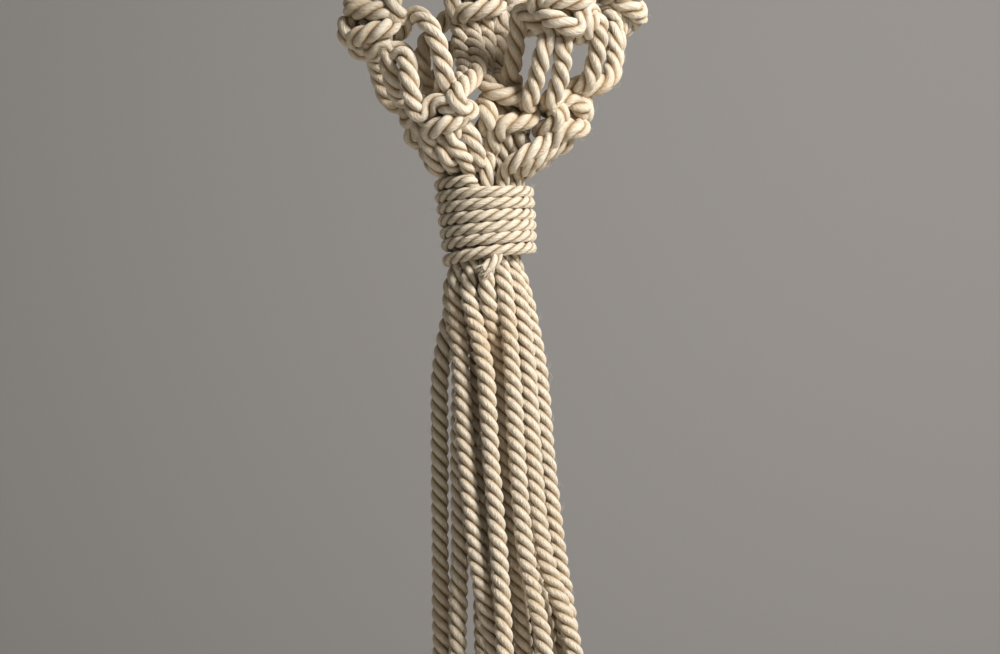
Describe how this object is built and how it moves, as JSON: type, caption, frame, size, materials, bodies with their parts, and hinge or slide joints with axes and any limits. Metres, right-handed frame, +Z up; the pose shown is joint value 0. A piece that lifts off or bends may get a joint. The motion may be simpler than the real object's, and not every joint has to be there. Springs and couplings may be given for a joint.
{
  "type": "macrame plant hanger",
  "caption": "Knotted cotton plant hanger: a wooden ring, a wrapped top, knotted arms, an open net of square knots that holds a pot, a wrapped base and a hanging tassel.",
  "frame": {"origin": "the hook point: the inside top of the hanging ring, on the hanger's own axis", "axes": "+Z up along the hanging cords; the ring lies in the XZ plane; -Y is the front of the net"},
  "size_m": [0.1214, 0.1214, 0.745],
  "materials": {
    "cotton_cord": "undyed three-strand twisted cotton rope, matt",
    "wrap_cord": "undyed three-strand twisted cotton rope, pulled tight, matt",
    "ring_wood": "turned beech, oiled, satin"
  },
  "bodies": {
    "ring": {"hanging_ring": "ring_wood"},
    "hanger_top": {"ring_loops": "cotton_cord", "top_bundle": "cotton_cord", "top_wrap": "wrap_cord"},
    "hanger": {"arm_left_upper_cords": "cotton_cord", "arm_front_upper_cords": "cotton_cord", "arm_right_upper_cords": "cotton_cord", "arm_back_upper_cords": "cotton_cord", "arm_left_column": "cotton_cord", "arm_front_column": "cotton_cord", "arm_right_column": "cotton_cord", "arm_back_column": "cotton_cord", "arm_left_lower_cords": "cotton_cord", "arm_front_lower_cords": "cotton_cord", "arm_right_lower_cords": "cotton_cord", "arm_back_lower_cords": "cotton_cord", "top_knot_left": "cotton_cord", "top_knot_front": "cotton_cord", "top_knot_right": "cotton_cord", "top_knot_back": "cotton_cord", "upper_net_cords": "cotton_cord", "second_knot_left": "cotton_cord", "second_knot_front": "cotton_cord", "second_knot_right": "cotton_cord", "second_knot_back": "cotton_cord", "middle_net_cords": "cotton_cord", "third_knot_left": "cotton_cord", "third_knot_middle": "cotton_cord", "third_knot_front": "cotton_cord", "third_knot_right": "cotton_cord", "lower_net_cords": "cotton_cord", "fourth_knot_left": "cotton_cord", "fourth_knot_middle": "cotton_cord", "fourth_knot_right": "cotton_cord", "fourth_knot_back": "cotton_cord", "gathered_cords": "cotton_cord", "bottom_bundle": "cotton_cord", "bottom_wrap": "wrap_cord", "wrap_tail": "wrap_cord"},
    "tassel_left": {"strand_left_1": "cotton_cord", "strand_left_2": "cotton_cord", "strand_left_3": "cotton_cord", "strand_left_4": "cotton_cord"},
    "tassel_front": {"strand_front_1": "cotton_cord", "strand_front_2": "cotton_cord", "strand_front_3": "cotton_cord", "strand_front_4": "cotton_cord"},
    "tassel_right": {"strand_right_1": "cotton_cord", "strand_right_2": "cotton_cord", "strand_right_3": "cotton_cord", "strand_right_4": "cotton_cord"},
    "tassel_back": {"strand_back_1": "cotton_cord", "strand_back_2": "cotton_cord", "strand_back_3": "cotton_cord", "strand_back_4": "cotton_cord"}
  },
  "joints": [
    {"name": "loops_slide_round_ring", "type": "hinge", "parent": "ring", "child": "hanger_top", "pos_m": [0, 0, -0.021], "axis": [0, 1, 0], "range_deg": [-45, 45]},
    {"name": "arms_swing", "type": "hinge", "parent": "hanger_top", "child": "hanger", "pos_m": [0, 0, -0.0897], "axis": [1, 0, 0], "range_deg": [-25, 25]},
    {"name": "tassel_left_swing", "type": "hinge", "parent": "hanger", "child": "tassel_left", "pos_m": [0, 0, -0.52685], "axis": [0, 1, 0], "range_deg": [0, 30]},
    {"name": "tassel_front_swing", "type": "hinge", "parent": "hanger", "child": "tassel_front", "pos_m": [0, 0, -0.52685], "axis": [-1, 0, 0], "range_deg": [0, 12]},
    {"name": "tassel_right_swing", "type": "hinge", "parent": "hanger", "child": "tassel_right", "pos_m": [0, 0, -0.52685], "axis": [0, -1, 0], "range_deg": [0, 30]},
    {"name": "tassel_back_swing", "type": "hinge", "parent": "hanger", "child": "tassel_back", "pos_m": [0, 0, -0.52685], "axis": [1, 0, 0], "range_deg": [0, 30]}
  ]
}
